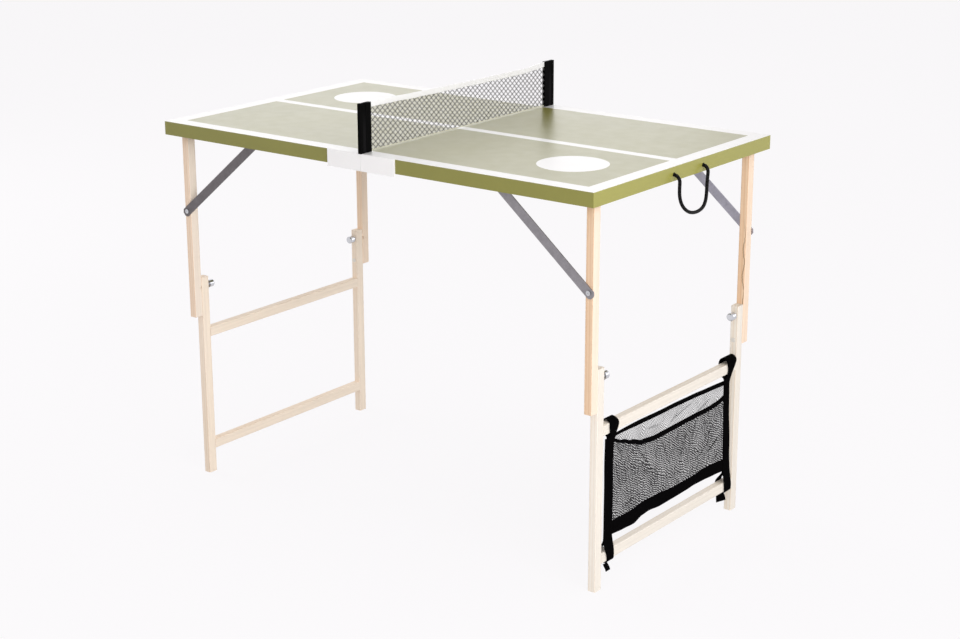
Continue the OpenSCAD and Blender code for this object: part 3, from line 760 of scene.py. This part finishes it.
class TABLE_OT_leg_finish(bpy.types.Operator):
    """Gives the legs, the crossbars and the frame rails their wood"""
    bl_idname = "folding_table.leg_finish"
    bl_label = "Wood"

    # How much sapwood each upper leg shows all round, how much paler its face towards the right
    # end is painted for the lamp light on it (a painted highlight), and how light its wood is.
    TONES = {"right_front": (0, 0.58, 0.92), "right_back": (0, 0.36, 1),
             "left_front": (0.5, 0.85, 1.08), "left_back": (0.3, 0.5, 1.1)}
    CRACKED = "right_back"
    # How light the left and the right frame's faces towards the right end are painted, set for the
    # lamp light on them: painted light and shade.
    LIT_FACE = (0.95, 0.91)

    def execute(self, context):
        settings = context.scene.table_wood
        tan, sap = Vector(settings.upper), Vector(settings.sapwood)
        finish_nodes(wood("pine_crossbar", settings.upper, "y"), "_leg_crossbar")
        dark = (tan.x * 0.72, tan.y * 0.6, tan.z * 0.48)
        for corner, (tone, lit_face_share, light) in self.TONES.items():
            leg = f"{corner}_upper_leg"
            marks = wood_marks(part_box(leg)[1].x, tan.lerp(sap, lit_face_share), dark,
                               corner == self.CRACKED)
            finish_nodes(wood(f"pine_{corner}", tan.lerp(sap, tone) * light, "z", 1.25, marks),
                         leg)
        for end, pale in zip(ENDS, self.LIT_FACE):
            colour = getattr(settings, f"lower_{end}")
            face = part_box(f"{end}_front_lower_leg")[1].x
            for name, along, contrast, pieces in (
                    ("pale_pine", "z", 0.7, ("front_lower_leg", "back_lower_leg")),
                    ("pale_pine_rail", "y", 0.8, ("upper_frame_rail", "lower_frame_rail"))):
                marks = wood_marks(face, tinted(colour, pale), colour, along=along)
                finish_nodes(wood(f"{name}_{end}", colour, along, contrast, marks),
                             *(f"{end}_{piece}" for piece in pieces))
        return {"FINISHED"}


class TABLE_OT_metal_finish(bpy.types.Operator):
    """Finishes the stays, pins, hinges and knobs, and adds the small screws"""
    bl_idname = "folding_table.metal_finish"
    bl_label = "Metal parts"

    # Each stay's steel has painted light and shade in its colour: the left stays painted darker
    # for the shade they stand in, the right back one paler for a painted reflection.
    STAYS = {"left_front": (0.18, 0.165, 0.172), "left_back": (0.175, 0.16, 0.168),
             "right_front": (0.315, 0.3, 0.32), "right_back": (0.42, 0.41, 0.48)}
    # Where the hinges' screws stand: out from the seam, up, and along the seam.
    SCREW_X, SCREW_Z = 0.0125, 0.7284
    SCREW_ROW = (-0.205, -0.185, -0.165, 0.165, 0.185, 0.205)

    def execute(self, context):
        steel = brushed_metal("steel", (0.42, 0.41, 0.415), 0.36, (1, 1, 0.2))
        chrome = brushed_metal("chrome", (0.62, 0.63, 0.66), 0.1)
        pins = brushed_metal("pin_steel", (0.8, 0.76, 0.7), 0.5, (1, 1, 0.2), 0.5)
        finish_nodes(steel, "hinge_pins", "_hinge_leaves", "_leg_pins", "_stay_guides")
        finish_nodes(chrome, "_knob", "_stay_screws")
        finish_nodes(pins, "_lower_pins")
        for corner, colour in self.STAYS.items():
            finish_nodes(brushed_metal(f"stay_{corner}", colour, 0.42, metallic=0.85),
                         f"{corner}_stay")
        for end, sign in zip(ENDS, (-1, 1)):
            self.screws(f"{end}_hinge_screws", steel, f"{end}_half", 0.0024, 0.0007, [
                ((sign * self.SCREW_X, y, self.SCREW_Z), math.pi) for y in self.SCREW_ROW])
            low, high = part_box(f"{end}_stay_screws")
            x, z = (low.x + high.x) / 2, (low.z + high.z) / 2
            self.screws(f"{end}_stay_screw_heads", chrome, f"{end}_upper_legs", 0.004, 0.0006, [
                ((x, side * high.y, z), -side * math.pi / 2) for side in (-1, 1)])
        return {"FINISHED"}

    def screws(self, name, metal, body, radius, height, heads):
        """Screw heads, each given by its place and its turn about X."""
        bm = bmesh.new()
        for at, turn in heads:
            place = Matrix.Translation(at) @ Matrix.Rotation(turn, 4, "X")
            screw_head(bm, place, radius, height)
        add_piece(name, bm, metal, body, smooth=30)


class TABLE_OT_net(bpy.types.Operator):
    """Makes the knotted net with its folded tape and hem cord, and finishes the posts"""
    bl_idname = "folding_table.net"
    bl_label = "Net"

    # Along the net, and how far its top sags there, in millimetres.
    SAG = ((-281, 0), (-215, 0.2), (-150, 2), (-53, 3), (79, 4.4), (205, 4.6), (258, 1.5),
           (281, 0))
    # The half sizes of a knot, how far the threads stray from the lattice, and the number of
    # stitches along each side of the tape.
    KNOT = (0.001, 0.0014, 0.0017)
    STRAY = 0.0004
    STITCHES = 150

    def execute(self, context):
        finish_nodes(moulded_plastic(
            "black_plastic", (0.0025,) * 3, (0.004, 0.0038, 0.004),
            (0.12, 0.11, 0.11), 0.06, 0.45, {"Specular IOR Level": 0.008}, self.groove_highlight),
            "_net_post")
        self.threads(context.scene.table_net)
        self.tape()
        self.hem()
        return {"FINISHED"}

    def groove_highlight(self, tree, body):
        """Painted highlight: a paler band along the groove on the lower part of each post."""
        x, y, z = tree.split(tree.at)
        out = tree.math("ABSOLUTE", y)
        groove_highlight = tree.times(tree.over(out, 0.288), tree.under(out, 0.297))
        groove_highlight = tree.times(groove_highlight, tree.remap(z, 0.8, 0.835, 1, 0))
        # Painted highlight in the groove.
        return tree.mix(groove_highlight, body, (0.008, 0.0075, 0.008))

    def sag(self, y):
        """How far the net's top hangs down between the posts."""
        return through([(at * MM, drop * MM) for at, drop in self.SAG], y)

    def threads(self, settings):
        grey = (0.105, 0.102, 0.104)
        cord = moulded_plastic("net_cord", grey, tinted(grey, 1.5), (0.25, 0.24, 0.23), 0.15, 0.8,
                               {"IOR": 1.46, "Specular IOR Level": 0.1, "Alpha": 0.38})
        low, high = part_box("net_mesh")
        length, height, middle_z = high.y - low.y, high.z - low.z, (low.z + high.z) / 2
        cell = settings.pitch / math.sqrt(2)
        across = 2 * math.ceil(length / settings.pitch) + 2
        spare = settings.pitch * 1.5
        bm = bmesh.new()
        bmesh.ops.create_grid(bm, x_segments=across, y_segments=across, size=across * cell / 2)
        lattice = Matrix(((1, 0, 0), (-settings.slope, settings.row / settings.pitch, 0),
                          (0, 0, 1))) @ Matrix.Rotation(math.pi / 4, 3, "Z")
        bmesh.ops.transform(bm, matrix=lattice, verts=bm.verts)
        far = [vert for vert in bm.verts if abs(vert.co.y) > height / 2 + spare
               or abs(vert.co.x) > length / 2 + spare]
        bmesh.ops.delete(bm, geom=far, context="VERTS")
        for vert in bm.verts:
            x, y = vert.co.x, vert.co.y
            vert.co.x += self.STRAY * math.sin(x * 341 + y * 97) * math.cos(y * 517)
            vert.co.y += self.STRAY * math.sin(y * 433 + x * 151)
        knots = [Vector((0, vert.co.x, middle_z + vert.co.y)) for vert in bm.verts]
        bmesh.ops.inset_individual(bm, faces=bm.faces, thickness=settings.thread / 2)
        inner = [face for face in bm.faces
                 if all(len(edge.link_faces) == 2 for edge in face.edges)
                 and face.calc_area() > cell * cell * 0.35]
        bmesh.ops.delete(bm, geom=inner, context="FACES")
        stand = Matrix(((0, 0, 1), (1, 0, 0), (0, 1, 0))).to_4x4()
        bmesh.ops.transform(bm, matrix=Matrix.Translation((0, 0, middle_z)) @ stand,
                            verts=bm.verts)
        for axis in (1, 2):
            for corner, out in ((low, -1), (high, 1)):
                place, normal = Vector(), Vector()
                place[axis], normal[axis] = corner[axis], out
                bmesh.ops.bisect_plane(bm, geom=bm.verts[:] + bm.edges[:] + bm.faces[:],
                                       plane_co=place, plane_no=normal, clear_outer=True)

        def hang(co):
            co.z -= self.sag(co.y) * (co.z - low.z) / height

        for vert in bm.verts:
            hang(vert.co)
        thicken(add_piece("net_threads", bm, cord, "net", ["net_mesh"], 30), 0.0015)
        bm = bmesh.new()
        for knot in knots:
            if low.y + 0.001 < knot.y < high.y - 0.001 and low.z + 0.002 < knot.z < high.z - 0.002:
                hang(knot)
                bmesh.ops.create_icosphere(bm, subdivisions=1, radius=1, matrix=(
                    Matrix.Translation(knot) @ Matrix.Diagonal((*self.KNOT, 1))))
        add_piece("net_knots", bm, cord, "net", smooth=80)

    def tape(self):
        white = cloth("white_tape", (0.79, 0.785, 0.79), 0.0011, 0.92, strength=0.3)
        low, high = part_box("net_tape")
        half = (high.x - low.x) / 2 * 0.55
        length, drop = high.y - low.y, high.z - low.z
        rise = [(-half, 0), (-half, drop - 0.0012), (-half * 0.6, drop - 0.0003)]
        outline = rise + [(0, drop)] + [(-x, z) for x, z in reversed(rise)]
        around = [0]
        for (ax, az), (bx, bz) in zip(outline, outline[1:]):
            around.append(around[-1] + math.hypot(bx - ax, bz - az))

        def place(u, v):
            at = u * around[-1]
            index = max(i for i in range(len(outline) - 1) if around[i] <= at + 1e-9)
            t = (at - around[index]) / (around[index + 1] - around[index])
            (ax, az), (bx, bz) = outline[index], outline[index + 1]
            x, z = ax + (bx - ax) * t, az + (bz - az) * t
            y = low.y + length * v
            loose = 1 - z / drop
            return Vector((x + 0.00025 * math.sin(y * 260) * loose, y,
                           low.z - self.sag(y) + z + 0.0003 * math.sin(y * 95) * loose))

        bm = bmesh.new()
        grid_sheet(bm, 24, 110, (around[-1], length), place)
        piece = add_piece("net_top_tape", bm, white, "net", ["net_tape"])
        thicken(piece, 0.0005, offset=-1)
        thread = cloth("tape_stitches", (0.8, 0.79, 0.78), 0.0008, 0.8)
        bm = bmesh.new()
        for side in (-1, 1):
            for index in range(self.STITCHES):
                y = low.y + length * (index + 0.5) / self.STITCHES
                spot = Matrix.Translation((side * (half + 0.0001), y,
                                           low.z + 0.0013 - self.sag(y)))
                bmesh.ops.create_cube(bm, size=1, matrix=spot @ Matrix.Diagonal(
                    (0.00035, 0.0024, 0.00035, 1)))
        add_piece("net_tape_stitches", bm, thread, "net", smooth=30)

    def hem(self):
        # Painted light: the cord's yellow-green tint stands for the green top showing through and
        # lighting the thin cord.
        pale = cloth("net_hem", (0.66, 0.64, 0.47), 0.0009, 0.7)
        low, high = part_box("net_hem")
        middle = (low.z + high.z) / 2
        parts = 80
        points = [Vector((0.0002 * math.sin(i * 0.9), low.y + (high.y - low.y) * i / parts,
                          middle + 0.00015 * math.sin(i * 0.7))) for i in range(parts + 1)]
        bm = bmesh.new()
        tube(bm, points, 0.00085, 8, 0.002)
        add_piece("net_hem_cord", bm, pale, "net", ["net_hem"])


class TABLE_OT_net_bag(bpy.types.Operator):
    """Makes the hanging net bag, its hems and its straps round the frame rails"""
    bl_idname = "folding_table.net_bag"
    bl_label = "Net bag"

    def execute(self, context):
        pitch = context.scene.table_bag.pitch
        black = (0.01, 0.0095, 0.01)
        front = fine_net("bag_net_front", black, pitch, 0.3, 0)
        back = fine_net("bag_net_back", black, pitch * 0.6, -0.12, 0.35)
        self.web = cloth("webbing", (0.0022, 0.002, 0.0022), 0.0016, 0.5, sheen=0, gloss=0.008)
        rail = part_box("right_upper_frame_rail")
        self.mid_x = (rail[0].x + rail[1].x) / 2 / MM
        self.panel("bag_front_net", front, self.front_x, 110, FRONT_RIM, CREASES, ["bag_pocket"])
        self.panel("bag_back_net", back, self.back_x, 104, BACK_RIM, BACK_CREASES, [])
        self.webbing("bag_front_hem", 0.0013, [self.hem(FRONT_RIM, 10, self.front_x, 0.4)])
        self.webbing("bag_back_hem", 0.0013, [self.hem(BACK_RIM, 9.5, self.back_x, 0)])
        self.webbing("bag_bottom_band", 0.0014, [self.band()])
        self.webbing("bag_webbing", 0.0012, [self.side(rows) for rows in SIDE_WEBBINGS])
        self.webbing("bag_strap_loops", 0.0011, [
            self.ribbon([((x, y - width / 2, z), (x, y + width / 2, z))
                         for x, y, z, width in rows]) for rows in TURNS], ["bag_straps"])
        self.webbing("bag_strap_tails", 0.0011, [self.ribbon(rows) for rows in TAILS])
        return {"FINISHED"}

    def spot(self, out, y, z):
        """A point in metres, from millimetres out from the rails' middle plane, along and up."""
        return Vector((self.mid_x + out, y, z)) * MM

    def crease(self, creases, y, z):
        """How deep the net is creased at a point, and how much it lies double there."""
        depth = double = 0
        for start, end, width, height in creases:
            run = Vector(end) - Vector(start)
            reach = Vector((y, z)) - Vector(start)
            t = unit(reach.dot(run) / run.length_squared)
            away = (reach - run * t).length
            fade = math.sin(math.pi * min(1, t + 0.15))
            depth += height * math.exp(-(2 * away / width) ** 2) * fade
            double = max(double, math.exp(-(away / 1.7) ** 2) * fade * abs(height))
        return depth, double

    def front_x(self, y, z):
        """How far out the front net stands from the rails' middle plane."""
        side = max(0, 1 - (abs(y + 6) / 200) ** 4)
        free = unit((z - 118) / 14)
        return 8.8 + side * (-1.6 * unit((z - 110) / 60)
                             + 0.5 * free * math.sin(y * 0.031 + z * 0.02)
                             + free * self.crease(CREASES, y, z)[0])

    def back_x(self, y, z):
        side = max(0, 1 - (abs(y + 6) / 202) ** 4)
        return 7.6 - side * unit((z - 104) / 70) * (
            1.5 + 7 * unit((292 - z) / 60) + 0.8 * math.sin(y * 0.027))

    def panel(self, name, net, depth, foot, rim, creases, stands_for):
        """A side of the bag, from its foot to just under its rim."""
        def place(u, v):
            y = -205 + 402 * u
            z = foot + (through(rim, y) - 5 - foot) * v
            return self.spot(depth(y, z), y, z)

        bm = bmesh.new()
        grid_sheet(bm, 200, 80, (0.402, 0.165), place)
        folded = bm.verts.layers.float.new("crease")
        for vert in bm.verts:
            vert[folded] = self.crease(creases, vert.co.y / MM, vert.co.z / MM)[1]
        layer = bm.loops.layers.uv.verify()
        for face in bm.faces:
            for loop in face.loops:
                loop[layer].uv = (loop.vert.co.y, loop.vert.co.z)
        area = sum(face.calc_area() for face in bm.faces)
        piece = add_piece(name, bm, net, "right_lower_frame", stands_for)

    def webbing(self, name, thickness, sheets, stands_for=()):
        """A piece of webbing, made of what hem, band, side or ribbon gives grid_sheet."""
        bm = bmesh.new()
        for sheet in sheets:
            grid_sheet(bm, *sheet)
        piece = add_piece(name, bm, self.web, "right_lower_frame", stands_for)
        thicken(piece, thickness, bevel=0.0003)

    def hem(self, rim, width, depth, forward):
        def place(u, v):
            y = -204 + 398 * v
            z = through(rim, y) - width * (1 - 0.35 * unit((-120 - y) / 60)) * u
            return self.spot(depth(y, z) + forward + 0.35 * math.sin(math.pi * u), y, z)
        return 4, 90, (width * MM, 0.398), place

    def band(self):
        def place(u, v):
            y = -207 + 405 * v
            z = through(BAND_LOW, y) * (1 - u) + through(BAND_HIGH, y) * u
            return self.spot(8.8 + 0.5 * math.sin(y * 0.045) * math.sin(math.pi * u), y, z)
        return 8, 100, (0.027, 0.405), place

    def side(self, rows):
        def place(u, v):
            z = rows[0][0] + (rows[-1][0] - rows[0][0]) * v
            middle, width = (through([(row[0], row[i]) for row in rows], z) for i in (1, 2))
            y = middle + width * (u - 0.5) + 0.4 * math.sin(z * 0.05)
            return self.spot(9.4 + 0.25 * math.sin(z * 0.07 + u), y, z)
        return 6, 50, (0.028, 0.2), place

    def ribbon(self, rows):
        """A ribbon between two edges, given as pairs of points."""
        first, second = (smooth_path(edge, 4) for edge in zip(*rows))

        def place(u, v):
            row = round(v * (len(first) - 1))
            return self.spot(*first[row].lerp(second[row], u))
        return 6, len(first) - 1, (0.026, path_length(first) * MM), place


class TABLE_PT_panel(bpy.types.Panel):
    """Lists the table's settings and the steps that make it"""
    bl_idname = "TABLE_PT_panel"
    bl_label = "Folding table"
    bl_space_type = "VIEW_3D"
    bl_region_type = "UI"
    bl_category = "Table"

    def draw(self, context):
        for name, kind in SETTINGS.items():
            for key in kind.__annotations__:
                self.layout.prop(getattr(context.scene, name), key)
        for step in STEPS:
            self.layout.operator(step.bl_idname)


STEPS = (TABLE_OT_stage, TABLE_OT_rope_handle, TABLE_OT_top_finish, TABLE_OT_leg_finish,
         TABLE_OT_metal_finish, TABLE_OT_net, TABLE_OT_net_bag)
SETTINGS = {"table_top": TableTopSettings, "table_wood": WoodSettings, "table_net": NetSettings,
            "table_bag": BagSettings}


def register():
    for kind in (*SETTINGS.values(), *STEPS, TABLE_PT_panel):
        bpy.utils.register_class(kind)
    for name, kind in SETTINGS.items():
        setattr(bpy.types.Scene, name, bpy.props.PointerProperty(type=kind))


def unregister():
    for name in SETTINGS:
        delattr(bpy.types.Scene, name)
    for kind in (TABLE_PT_panel, *reversed(STEPS), *SETTINGS.values()):
        bpy.utils.unregister_class(kind)


def main():
    register()
    make_groups()
    for step in STEPS:
        getattr(bpy.ops.folding_table, step.bl_idname.split(".")[1])()


if __name__ == "__main__":
    main()
